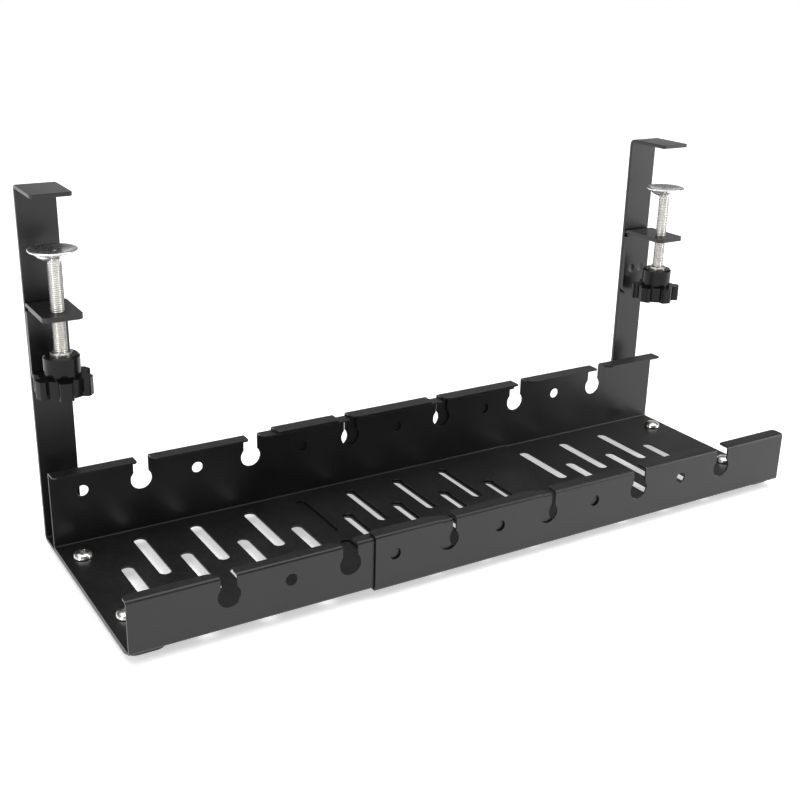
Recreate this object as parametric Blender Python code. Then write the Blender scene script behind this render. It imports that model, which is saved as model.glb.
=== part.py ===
"""Extendable under-desk cable tray with two screw clamps.

Two perforated sheet-metal channels telescope into each other. Each carries a clamp bracket: a bent
strip whose hook goes over the desk's edge, and a clamp angle with a threaded rod, a pressure disc
and a star knob under it. Metres, +Z up. X runs along the tray, the brackets stand at the back (+Y),
and the origin is the middle of the whole object's base.
"""

import math

import bmesh
import bpy
from mathutils import Matrix, Vector

MM = 0.001

# Sheet metal
SHEET = 1.2 * MM
SHEET_BEND = 2.0 * MM
GAP = 0.3 * MM

# Whole tray
OVERALL_LENGTH = 489.5 * MM
INNER_LENGTH = 346.0 * MM
OUTER_LENGTH = 339.0 * MM
INNER_DEPTH = 140.0 * MM
BACK_RISE = 51.0 * MM  # floor's upper face to the back lip's upper face, inner tray
FRONT_RISE = 32.0 * MM
BACK_LIP = 10.7 * MM
FRONT_LIP = 8.0 * MM
LIP_END_RADIUS = 3.0 * MM
NEST = SHEET + GAP  # how far each face of the outer tray lies outside the inner tray's

# Cut-outs
PITCH = 38.0 * MM
SLOT_WIDTH = 7.5 * MM
SLOT_LENGTH = 52.5 * MM
SLOT_ROWS = (0.0 * MM, 32.0 * MM, 64.5 * MM)  # how far forward each row starts from the first
SLOT_COUNTS = (7, 8, 7)
SLOT_FIRST = 49.5 * MM
INNER_SLOTS_START = 12.5 * MM  # from the back wall's inner face to the first row
OUTER_SLOTS_START = 13.5 * MM
HOLE_RADIUS = 3.75 * MM
BACK_HOLE_HEIGHT = 34.5 * MM
FRONT_HOLE_HEIGHT = 19.5 * MM
KEYHOLE_RADIUS = 7.0 * MM
KEYHOLE_NECK = 10.0 * MM
NECK_WIDE_RADIUS = 6.5 * MM
NECK_TIGHT_RADIUS = 2.0 * MM
INNER_HOLE_FIRST = 20.5 * MM
OUTER_HOLE_FIRST = 13.5 * MM

# Bracket strip and clamp angle
STRIP_WIDTH = 24.0 * MM
POST_THICKNESS = 2.5 * MM
POST_BEND = 4.0 * MM
POST_HEIGHT = 228.0 * MM
POST_REAR = 22.0 * MM  # rear face behind the back wall's inner face
HOOK_DEPTH = 37.0 * MM
HOOK_CORNER = 2.0 * MM
FOOT_FRONT = -135.5 * MM
FOOT_CORNER = 7.0 * MM
ANGLE_THICKNESS = 3.0 * MM
ANGLE_TOP = 158.4 * MM  # above the foot's lower face
ANGLE_FRONT = -20.6 * MM
ANGLE_LEG = 53.0 * MM
TAB_CORNER = 4.0 * MM
LEG_CORNER = 8.0 * MM
RELIEF_RADIUS = 1.6 * MM
WELD_DIMPLE_RADIUS = 2.2 * MM
WELD_DIMPLE_DEPTH = 0.5 * MM
WELD_DIMPLE_SPACING = 9.0 * MM

# Clamp screw
SCREW_Y = -8.0 * MM
ROD_RADIUS = 4.0 * MM
TAPPED_RADIUS = 4.1 * MM
ROD_CHAMFER = 0.8 * MM
DISC_TOP = 37.0 * MM  # rim above the tab's upper face
DISC_RADIUS = 14.3 * MM
DISC_HEIGHT = 6.5 * MM
DISC_DISH = 1.0 * MM
DISC_DISH_RADIUS = 5.0 * MM
DISC_FLAT_RADIUS = 11.8 * MM  # where the dish ends and the flat rim starts
DISC_BRIM = 1.2 * MM
DISC_NECK_RADIUS = 6.0 * MM
KNOB_DROP = 23.0 * MM  # tab's lower face to the knob hub's top
HUB_RADIUS = 10.75 * MM
HUB_HEIGHT = 13.0 * MM
STAR_HEIGHT = 11.0 * MM
STAR_RADIUS = 18.2 * MM
STAR_VALLEY = 14.0 * MM
STAR_PHASE = math.radians(20.0)
STAR_LOBES = 6
LOBE_ANGLE = math.radians(28.0)
INSERT_RADIUS = 6.5 * MM
INSERT_PROUD = 1.5 * MM
INSERT_DEPTH = 10.0 * MM

# Foot fasteners
FOOT_SCREW_Y = (("back", -20.0 * MM), ("front", -99.5 * MM))
FOOT_HOLE_RADIUS = 3.3 * MM
SCREW_RADIUS = 3.0 * MM
HEAD_RADIUS = 6.0 * MM
HEAD_HEIGHT = 3.8 * MM
NUT_FLAT = 10.0 * MM
NUT_HEIGHT = 3.2 * MM
NUT_GAP = 0.3 * MM

# Heights above the ground
OUTER_FOOT_BASE = NUT_HEIGHT + NUT_GAP
OUTER_FLOOR_BASE = OUTER_FOOT_BASE + POST_THICKNESS + GAP
INNER_FLOOR_BASE = OUTER_FLOOR_BASE + NEST
INNER_FOOT_BASE = INNER_FLOOR_BASE - GAP - POST_THICKNESS

# Plan positions
X_LEFT = -OVERALL_LENGTH / 2
X_RIGHT = OVERALL_LENGTH / 2
X_OUTER = X_RIGHT - OUTER_LENGTH
Y_FRONT = -(INNER_DEPTH - SHEET) - NEST
WALL_Y = -(POST_REAR + Y_FRONT) / 2  # the inner tray's back wall, inner face

# Finishes: colour, metallic, roughness
BLACK_STEEL = ("black_powder_coat", (0.018, 0.018, 0.02, 1.0), 0.0, 0.42)
ZINC = ("zinc_plate", (0.62, 0.62, 0.6, 1.0), 1.0, 0.3)
CHROME = ("bright_chrome", (0.75, 0.75, 0.76, 1.0), 1.0, 0.14)
BLACK_PLASTIC = ("black_plastic", (0.012, 0.012, 0.013, 1.0), 0.0, 0.28)

ARC_STEP = math.radians(18.0)
SLOT_ARC_STEP = math.radians(30.0)


def clear_scene():
    """Take every object out of the scene."""
    for item in list(bpy.data.objects):
        bpy.data.objects.remove(item, do_unlink=True)


def make_material(name, colour, metallic, roughness):
    """A Principled material with one colour."""
    material = bpy.data.materials.new(name)
    material.use_nodes = True
    shader = material.node_tree.nodes["Principled BSDF"]
    shader.inputs["Base Color"].default_value = colour
    shader.inputs["Metallic"].default_value = metallic
    shader.inputs["Roughness"].default_value = roughness
    material.diffuse_color = colour
    return material


def arc(centre, radius, start, end, step=ARC_STEP):
    """Points on an arc from one angle to another, both ends included."""
    count = max(2, round(abs(end - start) / step))
    angles = (start + (end - start) * k / count for k in range(count + 1))
    return [(centre[0] + radius * math.cos(a), centre[1] + radius * math.sin(a)) for a in angles]


def bent_sheet(corners, thickness, bend):
    """Closed outline of a sheet that follows corners with its outer face and lies to their left."""
    points = [Vector(corner) for corner in corners]
    outer = [points[0]]
    inner = []
    for k, (before, here, after) in enumerate(zip(points, points[1:], points[2:])):
        along, onward = (here - before).normalized(), (after - here).normalized()
        left, left_on = Vector((-along.y, along.x)), Vector((-onward.y, onward.x))
        if k == 0:
            inner.append(points[0] + left * thickness)
        centre = here + (left + left_on) * bend
        start = math.atan2(-left.y, -left.x)
        turn = math.atan2(along.cross(onward), along.dot(onward))
        outer += [Vector(p) for p in arc(centre, bend, start, start + turn)]
        inner += [Vector(p) for p in arc(centre, bend - thickness, start, start + turn)]
        last_left = left_on
    outer.append(points[-1])
    inner.append(points[-1] + last_left * thickness)
    return outer + inner[::-1]


def prism(outline, low, high, axis):
    """A bmesh of an outline pushed from low to high along an axis ('X', 'Y' or 'Z').

    The outline is in (Y, Z) for X, (X, Z) for Y and (X, Y) for Z.
    """
    place = {
        "X": lambda a, b, along: (along, a, b),
        "Y": lambda a, b, along: (a, along, b),
        "Z": lambda a, b, along: (a, b, along),
    }[axis]
    mesh = bmesh.new()
    lows = [mesh.verts.new(place(a, b, low)) for a, b in outline]
    highs = [mesh.verts.new(place(a, b, high)) for a, b in outline]
    count = len(outline)
    for k in range(count):
        following = (k + 1) % count
        mesh.faces.new((lows[k], lows[following], highs[following], highs[k]))
    mesh.faces.new(lows[::-1])
    mesh.faces.new(highs)
    bmesh.ops.recalc_face_normals(mesh, faces=mesh.faces)
    return mesh


def join_into(target, source):
    """Add one bmesh's geometry to another and free it."""
    scratch = bpy.data.meshes.new("scratch")
    source.to_mesh(scratch)
    source.free()
    target.from_mesh(scratch)
    bpy.data.meshes.remove(scratch)


def round_corners(mesh, picks, radius, segments=5):
    """Bevel each edge whose middle is within a hair of a picked point."""
    edges = []
    for pick in picks:
        place = Vector(pick)
        edges.append(min(mesh.edges, key=lambda e: (e.verts[0].co / 2 + e.verts[1].co / 2 - place).length))
    bmesh.ops.bevel(mesh, geom=edges, offset=radius, segments=segments, profile=0.5, affect="EDGES")


def make_object(name, mesh, material=None, origin=(0.0, 0.0, 0.0), parent=None, smooth=30.0):
    """An object from a bmesh in world metres, with its origin moved to a point."""
    data = bpy.data.meshes.new(name)
    bmesh.ops.translate(mesh, verts=mesh.verts, vec=-Vector(origin))
    mesh.to_mesh(data)
    mesh.free()
    data.shade_smooth()
    data.set_sharp_from_angle(angle=math.radians(smooth))
    item = bpy.data.objects.new(name, data)
    bpy.context.scene.collection.objects.link(item)
    if material is not None:
        data.materials.append(material)
    item.location = origin
    if parent is not None:
        item.parent = parent
        item.matrix_parent_inverse = Matrix.Translation(parent.location).inverted()
    return item


def make_empty(name, location, parent=None):
    """An empty on a joint's axis, for the pieces that move with it."""
    empty = bpy.data.objects.new(name, None)
    empty.empty_display_size = 20 * MM
    bpy.context.scene.collection.objects.link(empty)
    empty.location = location
    if parent is not None:
        empty.parent = parent
        empty.matrix_parent_inverse = Matrix.Translation(parent.location).inverted()
    return empty


def cut(item, name, mesh):
    """Subtract a bmesh from an object with a live Boolean."""
    cutter = make_object(name, mesh)
    cutter.hide_render = True
    cutter.display_type = "WIRE"
    boolean = item.modifiers.new(name, "BOOLEAN")
    boolean.operation = "DIFFERENCE"
    boolean.solver = "EXACT"
    boolean.object = cutter


def obround(centre_x, rear, front, width):
    """Outline in (X, Y) of a slot with round ends, running from rear forward to front."""
    radius = width / 2
    step = SLOT_ARC_STEP
    ends = arc((centre_x, rear - radius), radius, 0.0, math.pi, step)
    return ends + arc((centre_x, front + radius), radius, math.pi, 2 * math.pi, step)


def circle(centre, radius, count):
    """A closed ring of points."""
    turn = 2 * math.pi / count
    return [
        (centre[0] + radius * math.cos(turn * k), centre[1] + radius * math.sin(turn * k))
        for k in range(count)
    ]


def keyhole(centre_x, centre_z, top):
    """Outline in (X, Z) of a round hole with a parallel neck up to a height."""
    half = math.asin(KEYHOLE_NECK / 2 / KEYHOLE_RADIUS)
    start = math.pi / 2 + half
    ring = arc((centre_x, centre_z), KEYHOLE_RADIUS, start, start + 2 * (math.pi - half))
    return ring + [(centre_x + KEYHOLE_NECK / 2, top), (centre_x - KEYHOLE_NECK / 2, top)]


def neck_flare(centre_x, edge_y, inward, wide_side):
    """Outline in (X, Y) that opens a neck through a lip, with a rounded corner on each side.

    edge_y is the lip's free edge and inward the sign of Y from the wall to that edge.
    wide_side is the sign of X where the corner has the large radius.
    """
    over = edge_y + inward * 2 * MM
    outline = []
    for side in (-1, 1):
        radius = NECK_WIDE_RADIUS if side == wide_side else NECK_TIGHT_RADIUS
        neck = centre_x + side * KEYHOLE_NECK / 2
        centre = (neck + side * radius, edge_y - inward * radius)
        top = math.pi / 2 * inward
        towards_neck = math.pi if side > 0 else 0.0
        if inward < 0 and side > 0:
            towards_neck = -math.pi
        corner = arc(centre, radius, towards_neck, top, math.radians(22.5))
        depth = [(neck, edge_y - inward * (NECK_WIDE_RADIUS + 1 * MM))]
        stretch = depth + corner + [(neck + side * radius, over)]
        outline += stretch[::-1] if side < 0 else stretch
    return outline


class TraySection:
    """Sizes of one of the two channels, in world places."""

    def __init__(self, name, outward, left, length, slots_start, hole_first, back_rounds, front_rounds):
        self.name = name
        self.left = left
        self.right = left + length
        self.rear = WALL_Y + SHEET + outward
        self.front = WALL_Y + SHEET - INNER_DEPTH - outward
        self.base = INNER_FLOOR_BASE - outward
        self.floor = INNER_FLOOR_BASE + SHEET
        self.back_top = self.floor + BACK_RISE + outward
        self.front_top = self.floor + FRONT_RISE + outward
        self.back_edge = self.rear - BACK_LIP - outward
        self.front_edge = self.front + FRONT_LIP + outward
        self.slots_start = slots_start
        self.hole_first = hole_first
        self.back_rounds = back_rounds
        self.front_rounds = front_rounds

    def blank(self):
        """The bent channel before anything is cut."""
        corners = (
            (self.front_edge, self.front_top),
            (self.front, self.front_top),
            (self.front, self.base),
            (self.rear, self.base),
            (self.rear, self.back_top),
            (self.back_edge, self.back_top),
        )
        mesh = prism(bent_sheet(corners, SHEET, SHEET_BEND), self.left, self.right, "X")
        picks = [
            (x, edge, top - SHEET / 2)
            for x in (self.left, self.right)
            for edge, top in ((self.front_edge, self.front_top), (self.back_edge, self.back_top))
        ]
        round_corners(mesh, picks, LIP_END_RADIUS)
        return mesh

    def floor_slots(self):
        """Three staggered rows of slots that run across the floor."""
        cutters = bmesh.new()
        for row, count in enumerate(SLOT_COUNTS):
            stagger = PITCH / 2 if row % 2 else 0.0
            rear = WALL_Y - self.slots_start - SLOT_ROWS[row]
            for k in range(count):
                x = self.left + SLOT_FIRST - stagger + PITCH * k
                outline = obround(x, rear, rear - SLOT_LENGTH, SLOT_WIDTH)
                join_into(cutters, prism(outline, self.base - 1 * MM, self.floor + 1 * MM, "Z"))
        return cutters

    def wall_cuts(self):
        """Round holes and keyholes, alternating along both walls."""
        cutters = bmesh.new()
        walls = (
            (self.rear, self.back_edge, BACK_HOLE_HEIGHT, self.back_top, self.back_rounds),
            (self.front, self.front_edge, FRONT_HOLE_HEIGHT, self.front_top, self.front_rounds),
        )
        for wall, edge, height, top, rounds in walls:
            inward = -1 if edge < wall else 1
            outside, lip_end = wall - inward * 1 * MM, edge + inward * 1 * MM
            through = wall + inward * (SHEET + 1 * MM)
            z = self.floor + height
            for k in rounds:
                x = self.left + self.hole_first + 2 * PITCH * k
                low, high = sorted((outside, through))
                join_into(cutters, prism(circle((x, z), HOLE_RADIUS, 14), low, high, "Y"))
            for k in range(4):
                x = self.left + self.hole_first + PITCH * (2 * k + 1)
                low, high = sorted((outside, lip_end))
                join_into(cutters, prism(keyhole(x, z, top + 1 * MM), low, high, "Y"))
        return cutters

    def lip_flares(self):
        """The rounded corners where each keyhole's neck opens through a lip."""
        cutters = bmesh.new()
        lips = ((self.back_edge, -1, 1, self.back_top), (self.front_edge, 1, -1, self.front_top))
        for edge, inward, wide_side, top in lips:
            for k in range(4):
                x = self.left + self.hole_first + PITCH * (2 * k + 1)
                outline = neck_flare(x, edge, inward, wide_side)
                join_into(cutters, prism(outline, top - 3 * MM, top + 1 * MM, "Z"))
        return cutters

    def foot_holes(self, x):
        """Clearance holes for the two foot screws."""
        cutters = bmesh.new()
        for _, y in FOOT_SCREW_Y:
            ring = circle((x, WALL_Y + y), FOOT_HOLE_RADIUS, 16)
            join_into(cutters, prism(ring, self.base - 1 * MM, self.base + SHEET + 1 * MM, "Z"))
        return cutters

    def build(self, material, foot_x, parent):
        """The finished channel as one object."""
        origin = (foot_x, WALL_Y, self.base)
        item = make_object(self.name, self.blank(), material, origin, parent)
        cut(item, f"{self.name}_slot_cutter", self.floor_slots())
        cut(item, f"{self.name}_wall_cutter", self.wall_cuts())
        cut(item, f"{self.name}_flare_cutter", self.lip_flares())
        cut(item, f"{self.name}_foot_hole_cutter", self.foot_holes(foot_x))
        return item


def make_post(side, x, foot_base, material, parent):
    """Hook, upright and foot, bent from one strip."""
    rear = WALL_Y + POST_REAR
    hook_front = rear - HOOK_DEPTH
    foot_front = WALL_Y + FOOT_FRONT
    top = foot_base + POST_HEIGHT
    corners = ((foot_front, foot_base), (rear, foot_base), (rear, top), (hook_front, top))
    low, high = x - STRIP_WIDTH / 2, x + STRIP_WIDTH / 2
    mesh = prism(bent_sheet(corners, POST_THICKNESS, POST_BEND), low, high, "X")
    half = POST_THICKNESS / 2
    round_corners(mesh, [(e, foot_front, foot_base + half) for e in (low, high)], FOOT_CORNER)
    round_corners(mesh, [(e, hook_front, top - half) for e in (low, high)], HOOK_CORNER, 3)
    post = make_object(f"{side}_post", mesh, material, (x, rear, foot_base), parent)
    cutters = bmesh.new()
    for _, y in FOOT_SCREW_Y:
        ring = circle((x, WALL_Y + y), FOOT_HOLE_RADIUS, 16)
        join_into(cutters, prism(ring, foot_base - 1 * MM, foot_base + POST_THICKNESS + 1 * MM, "Z"))
    cut(post, f"{side}_post_cutter", cutters)


def make_angle(side, x, foot_base, material, parent):
    """The clamp angle: a tab with the tapped hole and a leg welded to the upright."""
    face = WALL_Y + POST_REAR - POST_THICKNESS - GAP
    front = WALL_Y + ANGLE_FRONT
    top = foot_base + ANGLE_TOP
    foot = top - ANGLE_LEG
    corners = ((face, foot), (face, top), (front, top))
    low, high = x - STRIP_WIDTH / 2, x + STRIP_WIDTH / 2
    mesh = prism(bent_sheet(corners, ANGLE_THICKNESS, POST_BEND), low, high, "X")
    half = ANGLE_THICKNESS / 2
    round_corners(mesh, [(e, front, top - half) for e in (low, high)], TAB_CORNER)
    round_corners(mesh, [(e, face - half, foot) for e in (low, high)], LEG_CORNER)
    angle = make_object(f"{side}_clamp_angle", mesh, material, (x, face, top), parent)
    cutters = prism(
        circle((x, WALL_Y + SCREW_Y), TAPPED_RADIUS, 32), top - ANGLE_THICKNESS - 1 * MM, top + 1 * MM, "Z"
    )
    dimple_z = foot + ANGLE_LEG * 0.42
    for sign in (-1, 1):
        notch = circle((x + sign * STRIP_WIDTH / 2, top - POST_BEND), RELIEF_RADIUS, 12)
        join_into(cutters, prism(notch, face - 8 * MM, face + 1 * MM, "Y"))
        dimple = circle((x + sign * WELD_DIMPLE_SPACING / 2, dimple_z), WELD_DIMPLE_RADIUS, 14)
        front_of_leg = face - ANGLE_THICKNESS
        join_into(cutters, prism(dimple, front_of_leg - 1 * MM, front_of_leg + WELD_DIMPLE_DEPTH, "Y"))
    cut(angle, f"{side}_angle_cutter", cutters)


def turned(profile, x, y, sides):
    """A closed turned solid about a vertical axis.

    profile lists (radius, z) down the outer side; its first and last points lie on the axis.
    """
    mesh = bmesh.new()
    verts = [mesh.verts.new((x + radius, y, z)) for radius, z in profile]
    edges = [mesh.edges.new(pair) for pair in zip(verts, verts[1:])]
    bmesh.ops.spin(
        mesh, geom=verts + edges, cent=(x, y, 0.0), axis=(0.0, 0.0, 1.0), angle=2 * math.pi, steps=sides
    )
    bmesh.ops.remove_doubles(mesh, verts=mesh.verts, dist=1e-6)
    bmesh.ops.dissolve_degenerate(mesh, edges=mesh.edges, dist=1e-7)
    bmesh.ops.recalc_face_normals(mesh, faces=mesh.faces)
    return mesh


def ring_mesh(profile, x, y, sides):
    """A closed turned ring: profile is a closed loop of (radius, z) clear of the axis."""
    mesh = bmesh.new()
    verts = [mesh.verts.new((x + radius, y, z)) for radius, z in profile]
    edges = [mesh.edges.new(pair) for pair in zip(verts, verts[1:] + verts[:1])]
    bmesh.ops.spin(
        mesh, geom=verts + edges, cent=(x, y, 0.0), axis=(0.0, 0.0, 1.0), angle=2 * math.pi, steps=sides
    )
    bmesh.ops.remove_doubles(mesh, verts=mesh.verts, dist=1e-6)
    bmesh.ops.recalc_face_normals(mesh, faces=mesh.faces)
    return mesh


def star_outline(x, y):
    """Plan outline of the knob's six lobes, with rounded corners and round valleys."""
    points = []
    turn = 2 * math.pi / STAR_LOBES
    half_lobe = LOBE_ANGLE / 2
    ease = math.radians(4.0)
    for k in range(STAR_LOBES):
        middle = turn * k + STAR_PHASE
        stations = (
            (-half_lobe - ease, STAR_VALLEY + 0.4 * MM),
            (-half_lobe, STAR_RADIUS - 1.6 * MM),
            (-half_lobe + ease, STAR_RADIUS - 0.4 * MM),
            (0.0, STAR_RADIUS),
            (half_lobe - ease, STAR_RADIUS - 0.4 * MM),
            (half_lobe, STAR_RADIUS - 1.6 * MM),
            (half_lobe + ease, STAR_VALLEY + 0.4 * MM),
            (turn / 2, STAR_VALLEY - 0.3 * MM),
        )
        for angle, radius in stations:
            points.append((x + radius * math.cos(middle + angle), y + radius * math.sin(middle + angle)))
    return points


def make_screw(side, x, tab_top, materials, parent):
    """Pressure disc, threaded rod, star knob and its metal insert, on one axis."""
    y = WALL_Y + SCREW_Y
    rim = tab_top + DISC_TOP
    lift = make_empty(f"{side}_clamp_lift_axis", (x, y, rim), parent)
    turn = make_empty(f"{side}_screw_turn_axis", (x, y, rim - DISC_HEIGHT), lift)

    bottom = rim - DISC_HEIGHT
    disc = [(0.0, rim - DISC_DISH), (DISC_DISH_RADIUS, rim - DISC_DISH), (DISC_FLAT_RADIUS, rim)]
    disc += [(DISC_RADIUS - 0.6 * MM, rim), (DISC_RADIUS, rim - 0.5 * MM), (DISC_RADIUS, rim - DISC_BRIM)]
    disc += [(DISC_RADIUS - 2.6 * MM, rim - DISC_BRIM - 0.9 * MM)]
    disc += [(DISC_NECK_RADIUS + 1.4 * MM, bottom + 1.4 * MM), (DISC_NECK_RADIUS, bottom), (0.0, bottom)]
    make_object(f"{side}_pressure_disc", turned(disc, x, y, 32), materials["chrome"], (x, y, rim), lift)

    hub_top = tab_top - ANGLE_THICKNESS - KNOB_DROP
    insert_top = hub_top + INSERT_PROUD
    insert_base = hub_top - INSERT_DEPTH
    rod_top, rod_base = bottom - GAP, hub_top - HUB_HEIGHT
    rod = [(0.0, rod_top), (ROD_RADIUS - ROD_CHAMFER, rod_top), (ROD_RADIUS, rod_top - ROD_CHAMFER)]
    rod += [(ROD_RADIUS, rod_base), (0.0, rod_base)]
    make_object(f"{side}_clamp_screw", turned(rod, x, y, 28), materials["zinc"], (x, y, rod_base), turn)

    bore = ROD_RADIUS + GAP
    chamfer = 0.4 * MM
    insert = [(bore, insert_top), (INSERT_RADIUS - chamfer, insert_top)]
    insert += [(INSERT_RADIUS, insert_top - chamfer), (INSERT_RADIUS, insert_base), (bore, insert_base)]
    insert_piece = ring_mesh(insert, x, y, 28)
    make_object(f"{side}_knob_insert", insert_piece, materials["zinc"], (x, y, insert_base), turn)

    star_top = hub_top - HUB_HEIGHT
    star_base = star_top - STAR_HEIGHT
    knob = prism(star_outline(x, y), star_base, star_top, "Z")
    rims = [
        edge
        for edge in knob.edges
        if abs(edge.verts[0].co.z - edge.verts[1].co.z) < 1e-7
    ]
    bmesh.ops.bevel(knob, geom=rims, offset=0.9 * MM, segments=2, profile=0.6, affect="EDGES")
    hub = [(0.0, hub_top), (HUB_RADIUS - 1.2 * MM, hub_top), (HUB_RADIUS, hub_top - 1.2 * MM)]
    hub += [(HUB_RADIUS, star_top - 2 * MM), (0.0, star_top - 2 * MM)]
    item = make_object(f"{side}_knob", knob, materials["plastic"], (x, y, star_base), turn)
    hub_item = make_object(f"{side}_knob_hub_guide", turned(hub, x, y, 36))
    hub_item.hide_render = True
    hub_item.display_type = "WIRE"
    union = item.modifiers.new("hub", "BOOLEAN")
    union.operation = "UNION"
    union.object = hub_item
    seat = insert_base - GAP
    pocket = [(0.0, hub_top + 1 * MM), (INSERT_RADIUS + GAP, hub_top + 1 * MM), (INSERT_RADIUS + GAP, seat)]
    pocket += [(bore, seat), (bore, rod_base - GAP), (0.0, rod_base - GAP)]
    cut(item, f"{side}_knob_pocket_cutter", turned(pocket, x, y, 28))


def make_foot_fasteners(side, x, floor_top, foot_base, materials, parent):
    """Two cross-recessed pan-head screws and their hexagon nuts under the foot."""
    for place, offset in FOOT_SCREW_Y:
        y = WALL_Y + offset
        seat = floor_top + GAP
        crown = seat + HEAD_HEIGHT
        tip = foot_base - NUT_GAP - NUT_HEIGHT + 0.1 * MM
        profile = [(0.0, crown), (2.6 * MM, crown - 0.15 * MM), (4.4 * MM, crown - 0.8 * MM)]
        profile += [(5.5 * MM, crown - 1.8 * MM), (HEAD_RADIUS, crown - 2.9 * MM), (HEAD_RADIUS, seat)]
        profile += [(SCREW_RADIUS, seat), (SCREW_RADIUS, tip + 0.5 * MM), (SCREW_RADIUS - 0.5 * MM, tip)]
        profile += [(0.0, tip)]
        name = f"{side}_{place}_screw"
        screw = make_object(name, turned(profile, x, y, 18), materials["zinc"], (x, y, tip), parent)
        arm, thin = 2.7 * MM, 0.6 * MM
        cross = []
        for quarter in range(4):
            turn = Matrix.Rotation(quarter * math.pi / 2, 2)
            cross += [turn @ Vector((arm, -thin)), turn @ Vector((arm, thin)), turn @ Vector((thin, thin))]
        outline = [(x + p.x, y + p.y) for p in cross]
        cut(screw, f"{name}_recess_cutter", prism(outline, crown - 2.2 * MM, crown + 1 * MM, "Z"))

        nut_top = foot_base - NUT_GAP
        nut = prism(circle((x, y), NUT_FLAT / math.sqrt(3), 6), nut_top - NUT_HEIGHT, nut_top, "Z")
        nut_item = make_object(f"{side}_{place}_nut", nut, materials["zinc"], (x, y, nut_top), parent)
        bore = prism(
            circle((x, y), SCREW_RADIUS + GAP, 20), nut_top - NUT_HEIGHT - 1 * MM, nut_top + 1 * MM, "Z"
        )
        cut(nut_item, f"{side}_{place}_nut_cutter", bore)


def make_bracket(side, x, foot_base, floor_top, materials, parent):
    """Everything that one end of the tray carries."""
    make_post(side, x, foot_base, materials["steel"], parent)
    make_angle(side, x, foot_base, materials["steel"], parent)
    make_screw(side, x, foot_base + ANGLE_TOP, materials, parent)
    make_foot_fasteners(side, x, floor_top, foot_base, materials, parent)


def main():
    """Build both channels and both brackets."""
    clear_scene()
    materials = {
        "steel": make_material(*BLACK_STEEL),
        "zinc": make_material(*ZINC),
        "chrome": make_material(*CHROME),
        "plastic": make_material(*BLACK_PLASTIC),
    }
    left_x, right_x = X_LEFT + STRIP_WIDTH / 2, X_RIGHT - STRIP_WIDTH / 2
    fixed = make_empty("outer_tray_frame", (right_x, WALL_Y, OUTER_FLOOR_BASE))
    sliding = make_empty("tray_extend_axis", (left_x, WALL_Y, INNER_FLOOR_BASE))
    inner = TraySection(
        "inner_tray", 0.0, X_LEFT, INNER_LENGTH, INNER_SLOTS_START, INNER_HOLE_FIRST, range(5), range(1, 5)
    )
    outer = TraySection(
        "outer_tray", NEST, X_OUTER, OUTER_LENGTH, OUTER_SLOTS_START, OUTER_HOLE_FIRST, range(4), range(4)
    )
    inner.build(materials["steel"], left_x, sliding)
    outer.build(materials["steel"], right_x, fixed)
    outer_floor_top = OUTER_FLOOR_BASE + SHEET
    make_bracket("left", left_x, INNER_FOOT_BASE, inner.floor, materials, sliding)
    make_bracket("right", right_x, OUTER_FOOT_BASE, outer_floor_top, materials, fixed)


main()
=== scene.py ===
"""Looks of an extendable under-desk cable tray with two screw clamps.

Two perforated channels of black powder-coated sheet slide in each other. Each ends in a bracket with a
hook, a clamp angle, a zinc-plated screw, a bright pressure disc and a black star knob. Metres, +Z up.
"""

import logging
import math
from collections.abc import Callable, Iterable, Iterator, Sequence
from contextlib import contextmanager
from dataclasses import dataclass, field
from enum import Enum

import bmesh
import bpy
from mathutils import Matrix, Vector


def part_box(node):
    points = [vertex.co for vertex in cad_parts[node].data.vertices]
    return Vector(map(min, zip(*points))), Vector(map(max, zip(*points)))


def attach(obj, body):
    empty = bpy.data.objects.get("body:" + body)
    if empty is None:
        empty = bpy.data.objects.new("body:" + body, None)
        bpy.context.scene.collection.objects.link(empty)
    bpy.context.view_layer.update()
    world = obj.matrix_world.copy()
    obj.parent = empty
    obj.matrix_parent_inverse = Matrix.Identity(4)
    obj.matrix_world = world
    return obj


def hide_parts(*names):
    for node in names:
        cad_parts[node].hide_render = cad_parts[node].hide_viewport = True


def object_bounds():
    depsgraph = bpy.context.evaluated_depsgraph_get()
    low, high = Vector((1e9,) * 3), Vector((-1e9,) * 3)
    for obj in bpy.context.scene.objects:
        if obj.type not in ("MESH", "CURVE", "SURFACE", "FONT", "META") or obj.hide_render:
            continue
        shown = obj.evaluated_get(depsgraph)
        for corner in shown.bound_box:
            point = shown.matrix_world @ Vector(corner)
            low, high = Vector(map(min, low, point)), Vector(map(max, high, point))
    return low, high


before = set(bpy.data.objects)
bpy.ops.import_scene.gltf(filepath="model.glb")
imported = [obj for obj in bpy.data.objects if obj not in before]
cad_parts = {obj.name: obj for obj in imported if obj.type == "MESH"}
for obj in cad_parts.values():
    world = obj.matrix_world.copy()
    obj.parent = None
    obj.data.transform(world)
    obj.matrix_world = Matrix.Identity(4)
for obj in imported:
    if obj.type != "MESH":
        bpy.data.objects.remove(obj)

CAD_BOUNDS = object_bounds()
LOG = logging.getLogger("cable_tray")

MM = 0.001
SHEET = 1.2 * MM
NEST = 1.5 * MM  # how far each face of the outer section lies outside the inner one's
THROUGH_SHEET = 4 * MM  # length of a cutter through one sheet
FOOT_HOLE_RADIUS = 3.3 * MM
FULL_TURN = 2 * math.pi

Point = tuple[float, float, float]
Pair = tuple[float, float]
Colour = tuple[float, float, float]
Piece = bpy.types.Object
Material = bpy.types.Material
Node = bpy.types.Node
Socket = bpy.types.NodeSocket
Tree = bpy.types.NodeTree


class Side(Enum):
    """The two ends of the tray, named as their nodes are."""

    LEFT = "left"
    RIGHT = "right"

    @property
    def section(self) -> str:
        """The body of the channel that this end's bracket is screwed to."""
        return "inner_section" if self is Side.LEFT else "outer_section"


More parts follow.
